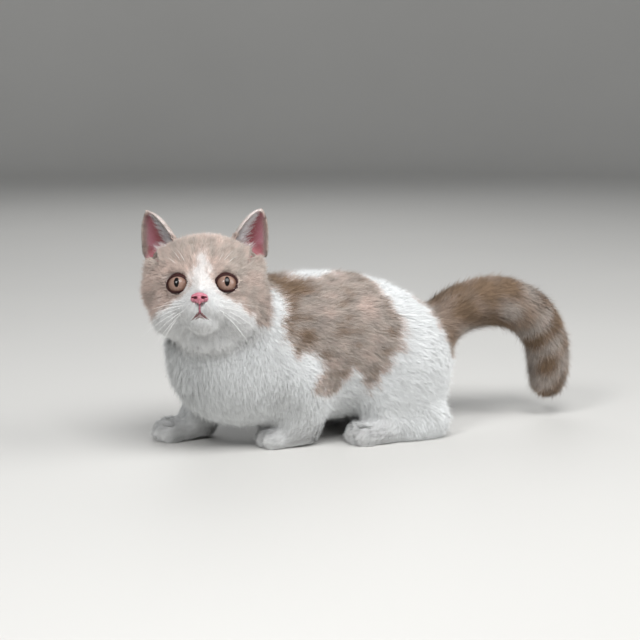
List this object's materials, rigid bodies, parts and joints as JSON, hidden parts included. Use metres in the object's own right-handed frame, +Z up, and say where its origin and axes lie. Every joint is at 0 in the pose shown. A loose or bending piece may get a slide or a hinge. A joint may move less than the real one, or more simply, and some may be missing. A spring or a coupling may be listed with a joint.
{
  "type": "munchkin kitten figure",
  "caption": "Life-size still munchkin kitten: short legs, long body, head turned to its left and raised, arched plush tail.",
  "frame": {"origin": "middle of the bounding box's underside, on the floor that the paws stand on", "axes": "-X towards the nose end of the body and +X towards the tail, +Y to the animal's right, +Z up; the head is turned to the animal's left, towards -Y"},
  "size_m": [0.3068, 0.0978, 0.1549],
  "materials": {
    "coat_white": "matt plush fur, white with lilac-brown patches",
    "coat_lilac": "matt plush fur, lilac-brown",
    "ear_skin": "thin pink skin with a short coat outside",
    "nose_leather": "moist pink leather",
    "eye": "wet and clear over a pinkish brown iris"
  },
  "bodies": {
    "root": {"chest": "coat_white", "ear_left": "ear_skin", "ear_right": "ear_skin", "eye_left": "eye", "eye_right": "eye", "foreleg_left": "coat_white", "foreleg_right": "coat_white", "forepaw_left": "coat_white", "forepaw_right": "coat_white", "head": "coat_white", "hindfoot_left": "coat_white", "hindfoot_right": "coat_white", "loin": "coat_white", "neck": "coat_white", "nose": "nose_leather", "rump": "coat_white", "shoulders": "coat_white", "tail_1": "coat_lilac", "tail_2": "coat_lilac", "tail_3": "coat_lilac", "tail_4": "coat_lilac", "thigh_left": "coat_white", "thigh_right": "coat_white"}
  },
  "joints": []
}
